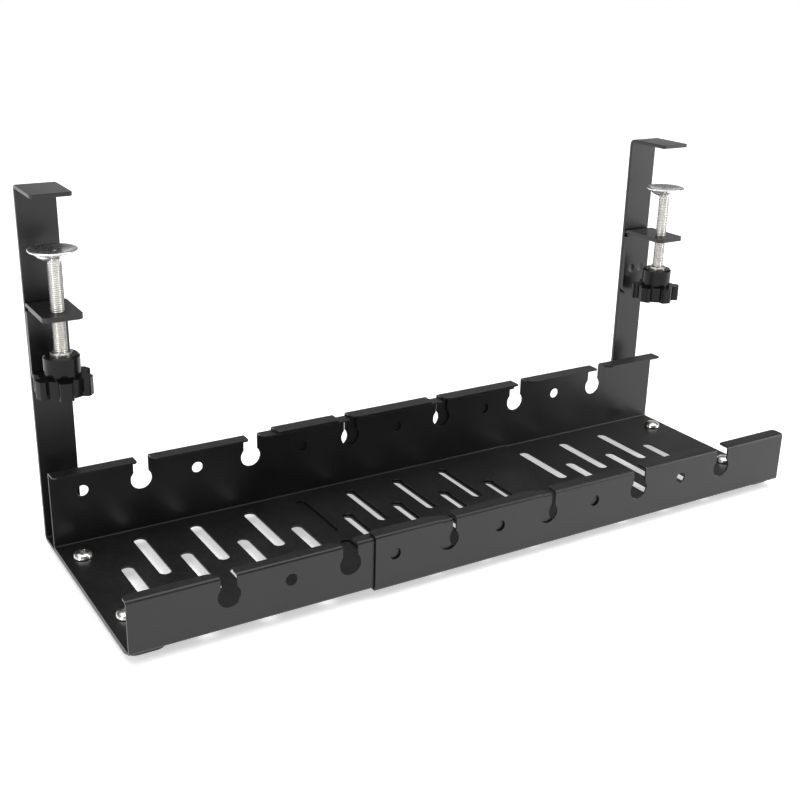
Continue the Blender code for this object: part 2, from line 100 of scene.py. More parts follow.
class Axis(Enum):
    """Directions that a cylinder is laid along, as Euler turns of an upright one."""

    Y = (math.pi / 2, 0.0, 0.0)
    Z = (0.0, 0.0, 0.0)


# ---------------------------------------------------------------- modelling bench


def alone(piece: Piece) -> None:
    """Make a piece the only selected and the active object, in object mode.

    Args:
        piece: the object to work on.
    """
    if bpy.context.object is not None and bpy.context.object.mode != "OBJECT":
        bpy.ops.object.mode_set(mode="OBJECT")
    bpy.ops.object.select_all(action="DESELECT")
    piece.select_set(True)
    bpy.context.view_layer.objects.active = piece


@contextmanager
def editing(piece: Piece, kind: str = "VERT") -> Iterator[bmesh.types.BMesh]:
    """Open a piece in edit mode with nothing selected, and close it again.

    Args:
        piece: the object to edit.
        kind: what is selected in it, VERT, EDGE or FACE.

    Returns:
        The edit mesh, for picking.
    """
    alone(piece)
    bpy.ops.object.mode_set(mode="EDIT")
    bpy.ops.mesh.select_mode(type=kind)
    bpy.ops.mesh.select_all(action="DESELECT")
    try:
        yield bmesh.from_edit_mesh(piece.data)
    finally:
        bpy.ops.object.mode_set(mode="OBJECT")


def pick(parts: Iterable, rule: Callable) -> None:
    """Select the parts of an edit mesh that a rule accepts.

    Args:
        parts: the mesh's verts, edges or faces.
        rule: says whether a part is taken.
    """
    for part in parts:
        if rule(part):
            part.select_set(True)


def near(places: Iterable[Vector], within: float = 0.01 * MM) -> Callable:
    """A rule that takes the edges whose middle lies at one of some places."""
    return lambda edge: any((middle(edge) - place).length < within for place in places)


def middle(edge: bmesh.types.BMEdge) -> Vector:
    """The middle of an edge."""
    return (edge.verts[0].co + edge.verts[1].co) / 2


def settle(piece: Piece) -> Piece:
    """Apply a piece's place, turn and scale to its mesh."""
    alone(piece)
    bpy.ops.object.transform_apply(location=True, rotation=True, scale=True)
    return piece


def named(name: str) -> Piece:
    """Give the newest primitive and its mesh a name."""
    piece = bpy.context.object
    piece.name = name
    piece.data.name = name
    return piece


def block(name: str, low: Sequence[float], high: Sequence[float]) -> Piece:
    """A rectangular block between two corners."""
    bpy.ops.object.select_all(action="DESELECT")
    centre = [(a + b) / 2 for a, b in zip(low, high)]
    bpy.ops.mesh.primitive_cube_add(size=1.0, location=centre)
    piece = named(name)
    piece.scale = [b - a for a, b in zip(low, high)]
    return settle(piece)


def cylinder(name: str, centre: Point, radius: float, depth: float, axis: Axis, sides: int) -> Piece:
    """A cylinder about a centre.

    Args:
        name: the piece's name.
        centre: its middle.
        radius: its radius.
        depth: its length.
        axis: the direction it lies along.
        sides: how many sides it has, a multiple of four; no corner points along X or Y.

    Returns:
        The piece.
    """
    bpy.ops.object.select_all(action="DESELECT")
    bpy.ops.mesh.primitive_cylinder_add(vertices=sides, radius=radius, depth=depth)
    piece = named(name)
    piece.rotation_euler = (0.0, 0.0, math.pi / sides)
    settle(piece)
    piece.rotation_euler = axis.value
    piece.location = centre
    return settle(piece)


def traced(name: str, points: Sequence[Point]) -> Piece:
    """An open outline drawn vertex by vertex.

    Args:
        name: the piece's name.
        points: its corners in order.

    Returns:
        The piece, a chain of edges.
    """
    bpy.ops.object.select_all(action="DESELECT")
    bpy.ops.mesh.primitive_plane_add(size=MM)
    piece = named(name)
    with editing(piece) as mesh:
        mesh.verts.ensure_lookup_table()
        start = mesh.verts[0].co.copy()
        pick(mesh.verts, lambda vert: vert.index != 0)
        bpy.ops.mesh.delete(type="VERT")
        bpy.ops.mesh.select_all(action="SELECT")
        bpy.ops.transform.translate(value=Vector(points[0]) - start)
        for before, after in zip(points, points[1:]):
            step = Vector(after) - Vector(before)
            bpy.ops.mesh.extrude_vertices_move(TRANSFORM_OT_translate={"value": step})
    return piece


def close_up(piece: Piece, within: float = 1e-6) -> None:
    """Merge doubled vertices and turn all faces outwards."""
    with editing(piece):
        bpy.ops.mesh.select_all(action="SELECT")
        bpy.ops.mesh.remove_doubles(threshold=within)
        bpy.ops.mesh.dissolve_degenerate(threshold=within / 10)
        bpy.ops.mesh.select_all(action="SELECT")
        bpy.ops.mesh.normals_make_consistent(inside=False)


def turned(name: str, centre: Pair, profile: Sequence[Pair], steps: int = 64) -> Piece:
    """A turned piece about a vertical axis.

    Args:
        name: the piece's name.
        centre: the axis's X and Y.
        profile: (radius, height) pairs, from the axis round to the axis, or a closed ring.
        steps: how many steps the spin takes.

    Returns:
        The piece.
    """
    x, y = centre
    piece = traced(name, [(x + radius, y, height) for radius, height in profile])
    with editing(piece):
        bpy.ops.mesh.select_all(action="SELECT")
        bpy.ops.mesh.spin(steps=steps, angle=FULL_TURN, center=(x, y, 0.0), axis=(0.0, 0.0, 1.0))
    close_up(piece)
    return piece


def folded(name: str, span: Pair, corners: Sequence[Pair], bend: float, steps: int = 7) -> Piece:
    """A folded sheet with no thickness yet, its outer face towards the right of the path.

    Args:
        name: the piece's name.
        span: where it starts and ends along X.
        corners: the outer face's fold lines and free edges as (Y, Z), in order.
        bend: the outer radius of the folds.
        steps: how many facets a fold has.

    Returns:
        The piece.
    """
    (y0, z0), (y1, z1) = corners[:2]
    bpy.ops.object.select_all(action="DESELECT")
    middle_x = (span[0] + span[1]) / 2
    bpy.ops.mesh.primitive_plane_add(size=1.0, location=(middle_x, (y0 + y1) / 2, (z0 + z1) / 2))
    piece = named(name)
    piece.rotation_euler = (math.atan2(z1 - z0, y1 - y0), 0.0, 0.0)
    piece.scale = (span[1] - span[0], math.hypot(y1 - y0, z1 - z0), 1.0)
    settle(piece)
    with editing(piece, "EDGE") as mesh:
        pick(mesh.edges, near([Vector((middle_x, y1, z1))]))
        for before, after in zip(corners[1:], corners[2:]):
            step = (0.0, after[0] - before[0], after[1] - before[1])
            bpy.ops.mesh.extrude_edges_move(TRANSFORM_OT_translate={"value": step})
    with editing(piece, "EDGE") as mesh:
        pick(mesh.edges, near([Vector((middle_x, *corner)) for corner in corners[1:-1]]))
        bpy.ops.mesh.bevel(offset=bend, segments=steps, profile=0.5, affect="EDGES")
    with editing(piece, "FACE") as mesh:
        bpy.ops.mesh.select_all(action="SELECT")
        bpy.ops.mesh.normals_make_consistent(inside=False)
        outward = Vector((0.0, z1 - z0, y0 - y1)).normalized()
        start = Vector((y0, z0))
        first = min(mesh.faces, key=lambda face: (face.calc_center_median().yz - start).length)
        if first.normal.dot(outward) < 0:
            bpy.ops.mesh.flip_normals()
    return piece


def round_sheet(piece: Piece, span: Pair, edges: Sequence[Pair], radius: float) -> None:
    """Round both corners of a thin sheet's free edges.

    Args:
        piece: the sheet, before it has a thickness.
        span: where it starts and ends along X.
        edges: the free edges as (Y, Z).
        radius: the corners' radius.
    """
    places = [Vector((x, *edge)) for x in span for edge in edges]
    with editing(piece) as mesh:
        pick(mesh.verts, lambda vert: any((vert.co - place).length < 0.01 * MM for place in places))
        bpy.ops.mesh.bevel(offset=radius, segments=8, profile=0.5, affect="VERTICES")


def thicken(piece: Piece, thickness: float) -> None:
    """Give a sheet its thickness, inwards from its outer face."""
    modifier = piece.modifiers.new("thickness", "SOLIDIFY")
    modifier.thickness = thickness
    modifier.offset = -1.0
    modifier.use_even_offset = True
    apply_all(piece)


def apply_all(piece: Piece) -> None:
    """Apply every modifier on a piece, in order."""
    alone(piece)
    for modifier in list(piece.modifiers):
        bpy.ops.object.modifier_apply(modifier=modifier.name)


def copied(piece: Piece, name: str, offset: Sequence[float]) -> Piece:
    """A copy with its own mesh, moved by an offset."""
    twin = piece.copy()
    twin.data = piece.data.copy()
    twin.name = name
    bpy.context.scene.collection.objects.link(twin)
    twin.location = offset
    return settle(twin)


def row_of(piece: Piece, pitch: float, numbers: Iterable[int]) -> list[Piece]:
    """Copies of a cutter, each a number of pitches along X from it."""
    return [copied(piece, piece.name, (pitch * number, 0.0, 0.0)) for number in numbers]


def turned_copy(piece: Piece, name: str, centre: Pair, angle: float) -> Piece:
    """A copy with its own mesh, turned anticlockwise about a vertical axis."""
    twin = copied(piece, name, (0.0, 0.0, 0.0))
    with editing(twin):
        bpy.ops.mesh.select_all(action="SELECT")
        bpy.ops.transform.rotate(
            value=-angle, orient_axis="Z", orient_type="GLOBAL", center_override=(*centre, 0.0)
        )
    return twin


def joined(pieces: Sequence[Piece]) -> Piece:
    """Join pieces into the first one."""
    alone(pieces[0])
    for piece in pieces:
        piece.select_set(True)
    bpy.ops.object.join()
    return pieces[0]


def combine(piece: Piece, tool: Piece, how: str) -> None:
    """Cut with, add or keep the common part of a tool, and use the tool up.

    Args:
        piece: the piece that is changed.
        tool: the other body.
        how: DIFFERENCE, UNION or INTERSECT.
    """
    modifier = piece.modifiers.new("combine", "BOOLEAN")
    modifier.operation = how
    modifier.solver = "EXACT"
    modifier.object = tool
    apply_all(piece)
    bpy.data.objects.remove(tool, do_unlink=True)


def soften(piece: Piece, width: float, sharper_than: float = 38.0, steps: int = 2) -> None:
    """Break the sharp edges with a small round, and shade the rest as it is shaped.

    Args:
        piece: the finished solid.
        width: how far the round reaches from each edge.
        sharper_than: the smallest angle between two faces, in degrees, that counts as an edge.
        steps: how many facets the round has.
    """
    bevel = piece.modifiers.new("edge", "BEVEL")
    bevel.width = width
    bevel.segments = steps
    bevel.limit_method = "ANGLE"
    bevel.angle_limit = math.radians(sharper_than)
    bevel.use_clamp_overlap = True
    apply_all(piece)
    alone(piece)
    bpy.ops.object.shade_smooth_by_angle(angle=math.radians(sharper_than))
    normals = piece.modifiers.new("normals", "WEIGHTED_NORMAL")
    normals.keep_sharp = True
    normals.weight = 100
    apply_all(piece)


def mark_axis_distance(piece: Piece, centre: Pair) -> None:
    """Store how far each vertex lies from a vertical axis, in millimetres, for the turned finishes."""
    layer = piece.data.attributes.new("axis_distance", "FLOAT", "POINT")
    for vert, value in zip(piece.data.vertices, layer.data):
        value.value = math.hypot(vert.co.x - centre[0], vert.co.y - centre[1]) / MM


def shaded_turned(piece: Piece, centre: Pair, sharper_than: float) -> Piece:
    """Smooth a turned piece up to an angle in degrees, and mark its distance to the axis."""
    alone(piece)
    bpy.ops.object.shade_smooth_by_angle(angle=math.radians(sharper_than))
    mark_axis_distance(piece, centre)
    return piece


def thread(name: str, centre: Pair, span: Pair, crest: float, pitch: float, steps: int = 32) -> Piece:
    """A rolled right-hand thread with flat ends.

    Args:
        name: the piece's name.
        centre: the axis's X and Y.
        span: the lowest and highest Z.
        crest: the outer radius.
        pitch: the rise in a turn.
        steps: how many steps a turn has.

    Returns:
        The threaded rod.
    """
    root = crest - 0.58 * pitch
    start = span[0] - 2 * pitch
    shape = ((root, 0.0), (root, 0.16), (crest - 0.03 * pitch, 0.49), (crest, 0.53))
    shape += ((crest, 0.62), (crest - 0.03 * pitch, 0.66), (root, 1.0))
    piece = traced(name, [(radius, 0.0, rise * pitch) for radius, rise in shape])
    piece.location = (*centre, start)
    screw = piece.modifiers.new("thread", "SCREW")
    screw.screw_offset = pitch
    screw.iterations = math.ceil((span[1] - start) / pitch) + 2
    screw.steps = steps
    screw.render_steps = steps
    screw.use_merge_vertices = True
    screw.merge_threshold = 1e-6
    apply_all(piece)
    settle(piece)
    close_up(piece)
    for height, lower in ((span[0], True), (span[1], False)):
        with editing(piece):
            bpy.ops.mesh.select_all(action="SELECT")
            bpy.ops.mesh.bisect(
                plane_co=(*centre, height),
                plane_no=(0.0, 0.0, 1.0),
                use_fill=True,
                clear_inner=lower,
                clear_outer=not lower,
            )
    close_up(piece, 1e-7)
    return shaded_turned(piece, centre, 38.0)


def middle_of(node: str) -> Pair:
    """The X and Y of the middle of a CAD node's box."""
    low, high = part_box(node)
    return (low[0] + high[0]) / 2, (low[1] + high[1]) / 2


def foot_hole_tool(side: Side, height: float) -> Piece:
    """A cutter for the clearance holes of one bracket's two foot screws.

    Args:
        side: the bracket's end of the tray.
        height: the middle of the cutter.

    Returns:
        The two cylinders as one piece.
    """
    centres = [middle_of(f"{side.value}_{place}_nut") for place in ("back", "front")]
    return joined(
        [
            cylinder("foot_tool", (*centre, height), FOOT_HOLE_RADIUS, 2 * THROUGH_SHEET, Axis.Z, 24)
            for centre in centres
        ]
    )


def relative(origin: Pair, steps: Iterable[Pair]) -> list[Pair]:
    """Points of a profile, given as millimetres from an origin in metres."""
    return [(origin[0] + across * MM, origin[1] + up * MM) for across, up in steps]


def hand_over(piece: Piece, node: str, body: str, material: Material) -> None:
    """Dress a finished piece, set it on its body and let it stand for its CAD node.

    Args:
        piece: the finished piece.
        node: the CAD node that it stands for.
        body: the body that it rides on.
        material: its finish.
    """
    piece.data.materials.clear()
    piece.data.materials.append(material)
    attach(piece, body)
    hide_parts(node)
    LOG.info("%s: %d faces on %s", piece.name, len(piece.data.polygons), body)


# ---------------------------------------------------------------- finishes


class NodeBench:
    """Adds and joins nodes in one node tree."""

    def __init__(self, tree: Tree) -> None:
        """Work on a material's or a group's node tree."""
        self.tree = tree
        self.column = 0

    def add(self, kind: str, values: dict | None = None, **settings: object) -> Node:
        """Add a node.

        Args:
            kind: the node's type name.
            values: socket names or numbers to their constants.
            settings: the node's own properties.

        Returns:
            The node.
        """
        node = self.tree.nodes.new(kind)
        node.location = (self.column * 180.0, 0.0)
        self.column += 1
        for name, value in settings.items():
            setattr(node, name, value)
        for socket, value in (values or {}).items():
            node.inputs[socket].default_value = value
        return node

    def join(self, source: Socket, target: Socket) -> None:
        """Link one socket to another."""
        self.tree.links.new(source, target)

    def feed(self, value: object, target: Socket) -> None:
        """Set a socket: link it when the value is a socket itself, or else store the value."""
        if isinstance(value, Socket):
            self.join(value, target)
        else:
            target.default_value = value

    def effect(self, tree: Tree, values: dict[str, float]) -> bpy.types.NodeOutputs:
        """Place a shared effect with its own values, and return its outputs."""
        return self.add("ShaderNodeGroup", values, node_tree=tree).outputs

    def arithmetic(self, operation: str, first: object, second: object) -> Socket:
        """A Math node of two values, each a socket or a number.

        Args:
            operation: the Math node's operation.
            first: its first value.
            second: its second value.

        Returns:
            The result's socket.
        """
        node = self.add("ShaderNodeMath", operation=operation)
        self.feed(first, node.inputs[0])
        self.feed(second, node.inputs[1])
        return node.outputs[0]

    def blend(self, mask: Socket, low: object, high: object) -> Socket:
        """Mix two colours by a mask.

        Args:
            mask: 0 for the first colour and 1 for the second.
            low: the first colour, a socket or four numbers.
            high: the second colour, likewise.

        Returns:
            The colour's socket.
        """
        node = self.add("ShaderNodeMix", data_type="RGBA")
        for label, value in (("Factor", mask), ("A", low), ("B", high)):
            self.feed(value, node.inputs[label])
        return node.outputs["Result"]

    def spread(self, value: Socket, source: Pair, target: Pair = (0.0, 1.0)) -> Socket:
        """Map a value from one range to another, held at both ends.

        Args:
            value: the socket that is mapped.
            source: the range it comes from.
            target: the range it goes to.

        Returns:
            The result's socket.
        """
        low, high = source
        values = {1: low, 2: high, 3: target[0], 4: target[1]}
        node = self.add("ShaderNodeMapRange", values)
        self.join(value, node.inputs[0])
        return node.outputs[0]


class Effect:
    """Shared shader effects, each a node group that is built once."""

    def __init__(self) -> None:
        """Build every effect."""
        self.grain = self.make_grain()
        self.patches = self.make_patches()
        self.dust = self.make_dust()
        self.rings = self.make_rings()

    @staticmethod
    def new_group(
        name: str, inputs: dict[str, float], outputs: Sequence[str]
    ) -> tuple[NodeBench, dict, dict]:
        """Start a node group of plain numbers.

        Args:
            name: the group's name.
            inputs: input names to their defaults.
            outputs: output names.

        Returns:
            The bench, the input sockets and the output sockets, by name.
        """
        tree = bpy.data.node_groups.new(name, "ShaderNodeTree")
        for label, value in inputs.items():
            socket = tree.interface.new_socket(label, in_out="INPUT", socket_type="NodeSocketFloat")
            socket.default_value = value
        for label in outputs:
            tree.interface.new_socket(label, in_out="OUTPUT", socket_type="NodeSocketFloat")
        bench = NodeBench(tree)
        sources = bench.add("NodeGroupInput").outputs
        targets = bench.add("NodeGroupOutput").inputs
        given = {label: sources[label] for label in inputs}
        return bench, given, {label: targets[label] for label in outputs}

    def noise(self, bench: NodeBench, scale: object, detail: float, roughness: float = 0.5) -> Socket:
        """Noise on the piece's own coordinates.

        Args:
            bench: the group's bench.
            scale: cells a metre, a socket or a number.
            detail: how many finer layers it has.
            roughness: how strong the finer layers are.

        Returns:
            The noise, 0 to 1.
        """
        place = bench.add("ShaderNodeTexCoord").outputs["Object"]
        node = bench.add("ShaderNodeTexNoise", {"Detail": detail, "Roughness": roughness})
        bench.join(place, node.inputs["Vector"])
        bench.feed(scale, node.inputs["Scale"])
        return node.outputs["Fac"]

    def make_grain(self) -> Tree:
        """Fine relief: a soft orange peel with a finer grain on it."""
        bench, given, wanted = self.new_group(
            "fine_grain", {"Peel Scale": 700.0, "Grain Scale": 4000.0, "Grain Share": 0.35}, ("Height",)
        )
        peel = self.noise(bench, given["Peel Scale"], 1.0)
        grain = self.noise(bench, given["Grain Scale"], 2.0, 0.6)
        fine = bench.arithmetic("MULTIPLY", grain, given["Grain Share"])
        bench.join(bench.arithmetic("ADD", peel, fine), wanted["Height"])
        return bench.tree

    def make_patches(self) -> Tree:
        """Slow changes over a surface, between a low and a high value."""
        bench, given, wanted = self.new_group(
            "slow_patches", {"Scale": 30.0, "Low": 0.0, "High": 1.0}, ("Value", "Mask")
        )
        mask = bench.spread(self.noise(bench, given["Scale"], 3.0, 0.55), (0.32, 0.68))
        span = bench.arithmetic("SUBTRACT", given["High"], given["Low"])
        risen = bench.arithmetic("MULTIPLY", mask, span)
        bench.join(bench.arithmetic("ADD", risen, given["Low"]), wanted["Value"])
        bench.join(mask, wanted["Mask"])
        return bench.tree

    def make_dust(self) -> Tree:
        """A trace of settled dust on the faces that look up."""
        bench, given, wanted = self.new_group("settled_dust", {"Amount": 0.2, "Scale": 160.0}, ("Mask",))
        normal = bench.add("ShaderNodeTexCoord").outputs["Normal"]
        parts = bench.add("ShaderNodeSeparateXYZ")
        bench.join(normal, parts.inputs[0])
        upward = bench.spread(parts.outputs["Z"], (0.55, 1.0))
        specks = bench.spread(self.noise(bench, given["Scale"], 5.0, 0.7), (0.42, 0.72))
        dusty = bench.arithmetic("MULTIPLY", upward, specks)
        bench.join(bench.arithmetic("MULTIPLY", dusty, given["Amount"]), wanted["Mask"])
        return bench.tree

    def make_rings(self) -> Tree:
        """Concentric turning marks from the stored distance to the axis."""
        bench, given, wanted = self.new_group(
            "turning_marks", {"Rings Per Millimetre": 5.0, "Unevenness": 0.4}, ("Height", "Distance")
        )
        distance = bench.add("ShaderNodeAttribute", attribute_name="axis_distance").outputs["Fac"]
        jitter = bench.arithmetic("MULTIPLY", self.noise(bench, 250.0, 1.0), given["Unevenness"])
        count = bench.arithmetic("MULTIPLY", distance, given["Rings Per Millimetre"])
        phase = bench.arithmetic("MULTIPLY", bench.arithmetic("ADD", count, jitter), FULL_TURN)
        wave = bench.arithmetic("SINE", phase, 0.0)
        bench.join(bench.spread(wave, (-1.0, 1.0)), wanted["Height"])
        bench.join(distance, wanted["Distance"])
        return bench.tree


@dataclass(frozen=True)
class Finish:
    """A slot in the record and a Principled shader: slow patches, an optional layer, and a relief."""

    slot: str
    colour: Colour
    varied: Colour
    roughness: Pair
    name: str = ""
    metallic: float = 0.0
    specular: float = 0.5
    patch_scale: float = 260.0
    layer_colour: Colour = (0.2, 0.2, 0.2)
    layer_roughness: float = 0.25
    relief_depth: float = 0.006 * MM

    def layer(self, bench: NodeBench, effects: Effect) -> Socket | None:
        """A mask for what lies over the colour, or None."""
        return None

    def relief(self, bench: NodeBench, effects: Effect) -> Socket:
        """The height of the surface's relief, 0 to 1."""
        raise NotImplementedError

    def material(self, effects: Effect) -> Material:
        """The material.

        Args:
            effects: the shared node groups.

        Returns:
            The material.
        """
        material = bpy.data.materials.new(self.name or self.slot)
        material.use_nodes = True
        material.diffuse_color = (*self.colour, 1.0)
        shader = material.node_tree.nodes["Principled BSDF"]
        shader.inputs["Metallic"].default_value = self.metallic
        shader.inputs["Specular IOR Level"].default_value = self.specular
        bench = NodeBench(material.node_tree)
        low, high = self.roughness
        patches = bench.effect(effects.patches, {"Scale": self.patch_scale, "Low": low, "High": high})
        colour = bench.blend(patches["Mask"], (*self.colour, 1.0), (*self.varied, 1.0))
        roughness = patches["Value"]
        layer = self.layer(bench, effects)
        if layer is not None:
            colour = bench.blend(layer, colour, (*self.layer_colour, 1.0))
            added = bench.arithmetic("MULTIPLY", layer, self.layer_roughness)
            roughness = bench.arithmetic("ADD", roughness, added)
        bench.join(colour, shader.inputs["Base Color"])
        bench.join(roughness, shader.inputs["Roughness"])
        bump = bench.add("ShaderNodeBump", {"Strength": 1.0, "Distance": self.relief_depth})
        bench.join(self.relief(bench, effects), bump.inputs["Height"])
        bench.join(bump.outputs["Normal"], shader.inputs["Normal"])
        return material


@dataclass(frozen=True)
class PowderCoat(Finish):
    """Satin black powder coat: a soft orange peel, uneven sheen and a trace of dust."""

    dust: float = 0.05

    def layer(self, bench: NodeBench, effects: Effect) -> Socket:
        """The dust."""
        return bench.effect(effects.dust, {"Amount": self.dust, "Scale": 420.0})["Mask"]

    def relief(self, bench: NodeBench, effects: Effect) -> Socket:
        """The orange peel."""
        scales = {"Peel Scale": 620.0, "Grain Scale": 3600.0, "Grain Share": 0.3}
        return bench.effect(effects.grain, scales)["Height"]


@dataclass(frozen=True)
class Plating(Finish):
    """Plated metal with turning marks; it can be painted darker near the axis, as painted shade in thread
    roots.
    """

    metallic: float = 1.0
    rings: float = 5.0
    dark_below: Pair = (0.0, 0.01)

    def layer(self, bench: NodeBench, effects: Effect) -> Socket:
        """The darker part, by its distance to the axis in millimetres; on the thread this is painted shade in
        the roots.
        """
        distance = bench.effect(effects.rings, {})["Distance"]
        return bench.spread(distance, self.dark_below, (1.0, 0.0))

    def relief(self, bench: NodeBench, effects: Effect) -> Socket:
        """The turning marks."""
        return bench.effect(effects.rings, {"Rings Per Millimetre": self.rings, "Unevenness": 0.5})["Height"]


@dataclass(frozen=True)
class MouldedPlastic(Finish):
    """Glossy black moulded plastic with faint flow marks."""

    def relief(self, bench: NodeBench, effects: Effect) -> Socket:
        """A faint unevenness left by the mould."""
        scales = {"Peel Scale": 260.0, "Grain Scale": 2400.0, "Grain Share": 0.12}
        return bench.effect(effects.grain, scales)["Height"]


POWDER_COAT = PowderCoat(
    "black_powder_coat", (0.005, 0.005, 0.0054), (0.0075, 0.0074, 0.0076), (0.28, 0.35), "powder_coat",
    patch_scale=22.0, layer_colour=(0.22, 0.21, 0.2), layer_roughness=0.5,
)
PLASTIC = MouldedPlastic(
    "black_plastic", (0.004, 0.004, 0.0044), (0.006, 0.006, 0.006), (0.14, 0.22), "moulded_plastic",
    specular=0.22, patch_scale=90.0,
)
# dark_below and layer_colour here paint shade into the thread roots: darker, rougher colour just above the
# root radius.
THREAD = Plating(
    "zinc_thread", (0.88, 0.87, 0.84), (0.78, 0.77, 0.74), (0.2, 0.32),
    rings=9.0, relief_depth=0.001 * MM, dark_below=(3.2, 3.6), layer_colour=(0.5, 0.49, 0.46),
)
DISC = Plating(
    "bright_disc", (0.93, 0.93, 0.94), (0.86, 0.86, 0.87), (0.24, 0.32),
    rings=3.0, relief_depth=0.0012 * MM, dark_below=(0.0, 0.9), layer_colour=(0.35, 0.35, 0.35),
)
INSERT = Plating(
    "zinc_insert", (0.74, 0.72, 0.68), (0.62, 0.6, 0.56), (0.22, 0.34), rings=4.0, relief_depth=0.003 * MM
)
SCREW = Plating(
    "zinc_screw", (0.8, 0.79, 0.76), (0.68, 0.67, 0.64), (0.18, 0.3), rings=6.0, relief_depth=0.001 * MM
)
NUT = Plating(
    "zinc_nut", (0.72, 0.71, 0.68), (0.6, 0.59, 0.56), (0.24, 0.36), rings=4.0, relief_depth=0.002 * MM
)


# ---------------------------------------------------------------- sub-assemblies


@dataclass
class Channel:
    """One of the two perforated channels."""

    node: str
    body: str
    outward: float
    first_slot_y: float
    first_hole_x: float
    back_rounds: range
    front_rounds: range
    bend: float = 2.0 * MM
    back_lip: float = 10.7 * MM
    front_lip: float = 8.0 * MM
    lip_corner: float = 3.0 * MM
    wall_step: float = 19.0 * MM
    back_hole_drop: float = 16.5 * MM
    front_hole_drop: float = 12.5 * MM
    pitch: float = 38.0 * MM
    slot_width: float = 7.5 * MM
    slot_length: float = 52.5 * MM
    slot_rows: tuple[tuple[float, int], ...] = ((0.0, 7), (32.0 * MM, 8), (64.5 * MM, 7))
    first_slot_x: float = 49.5 * MM
    hole_radius: float = 3.75 * MM
    keyhole_radius: float = 7.0 * MM
    neck: float = 10.0 * MM
    neck_wide: float = 6.5 * MM
    neck_tight: float = 2.0 * MM
    edge: float = 0.22 * MM

    def __post_init__(self) -> None:
        """Read the channel's faces from its CAD node."""
        low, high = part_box(self.node)
        self.left, self.front, self.base = low
        self.right, self.rear, self.back_top = high
        self.front_top = self.back_top - self.wall_step
        self.back_edge = self.rear - self.back_lip - self.outward
        self.front_edge = self.front + self.front_lip + self.outward

    def shell(self) -> Piece:
        """The folded channel with its rounded lip ends, at full thickness."""
        corners = (
            (self.front_edge, self.front_top),
            (self.front, self.front_top),
            (self.front, self.base),
            (self.rear, self.base),
            (self.rear, self.back_top),
            (self.back_edge, self.back_top),
        )
        span = (self.left, self.right)
        piece = folded(f"{self.node}_sheet", span, corners, self.bend)
        round_sheet(piece, span, (corners[0], corners[-1]), self.lip_corner)
        thicken(piece, SHEET)
        return piece

    def slot_tools(self) -> list[Piece]:
        """One long round-ended cutter for each floor slot."""
        tools: list[Piece] = []
        radius = self.slot_width / 2
        height = self.base + SHEET / 2
        for row, (forward, count) in enumerate(self.slot_rows):
            stagger = self.pitch / 2 if row % 2 else 0.0
            x = self.left + self.first_slot_x - stagger
            y = self.rear - self.first_slot_y - forward - radius
            first = cylinder("slot_tool", (x, y, height), radius, THROUGH_SHEET, Axis.Z, 36)
            with editing(first) as mesh:
                pick(mesh.verts, lambda vert, limit=y: vert.co.y < limit)
                bpy.ops.transform.translate(value=(0.0, self.slot_width - self.slot_length, 0.0))
            tools.append(first)
            tools += row_of(first, self.pitch, range(1, count))
        return tools

    def wall_tools(self) -> list[Piece]:
        """Cutters for the round holes and the keyholes of both walls."""
        tools: list[Piece] = []
        walls = (
            (self.rear, self.back_edge, self.back_top, self.back_hole_drop, self.back_rounds),
            (self.front, self.front_edge, self.front_top, self.front_hole_drop, self.front_rounds),
        )
        for wall, edge, top, drop, rounds in walls:
            inward = math.copysign(1.0, edge - wall)
            z = top - drop - self.outward
            x = self.left + self.first_hole_x
            centre = (x, wall + inward * SHEET / 2, z)
            hole = cylinder("hole_tool", centre, self.hole_radius, THROUGH_SHEET, Axis.Y, 32)
            tools += row_of(hole, 2 * self.pitch, rounds)
            bpy.data.objects.remove(hole, do_unlink=True)
            x += self.pitch
            y = (wall + edge) / 2
            depth = abs(wall - edge) + THROUGH_SHEET
            keyhole = cylinder("keyhole_tool", (x, y, z), self.keyhole_radius, depth, Axis.Y, 44)
            low = (x - self.neck / 2, y - depth / 2, z)
            high = (x + self.neck / 2, y + depth / 2, top + THROUGH_SHEET / 2)
            combine(keyhole, block("neck_tool", low, high), "UNION")
            tools.append(keyhole)
            tools += row_of(keyhole, 2 * self.pitch, range(1, 4))
        return tools

    def round_necks(self, piece: Piece) -> None:
        """Round the lip's corners at each keyhole's neck, widely on one side and tightly on the other."""
        lips = ((self.back_edge, 1, self.back_top), (self.front_edge, -1, self.front_top))
        for edge_y, wide_side, top in lips:
            for side in (-1, 1):
                radius = self.neck_wide if side == wide_side else self.neck_tight
                first = self.left + self.first_hole_x + self.pitch + side * self.neck / 2
                steps = [first + 2 * self.pitch * k for k in range(4)]
                places = [Vector((step, edge_y, top - SHEET / 2)) for step in steps]
                with editing(piece, "EDGE") as mesh:
                    pick(mesh.edges, near(places, 0.05 * MM))
                    bpy.ops.mesh.bevel(offset=radius, segments=8, profile=0.5, affect="EDGES")

    def build(self, side: Side, material: Material) -> None:
        """Make, cut, soften and dress the channel.

        Args:
            side: the end that its bracket is on.
            material: the powder coat.
        """
        piece = self.shell()
        combine(piece, joined(self.slot_tools()), "DIFFERENCE")
        combine(piece, joined(self.wall_tools()), "DIFFERENCE")
        combine(piece, foot_hole_tool(side, self.base), "DIFFERENCE")
        self.round_necks(piece)
        soften(piece, self.edge)
        hand_over(piece, self.node, self.body, material)


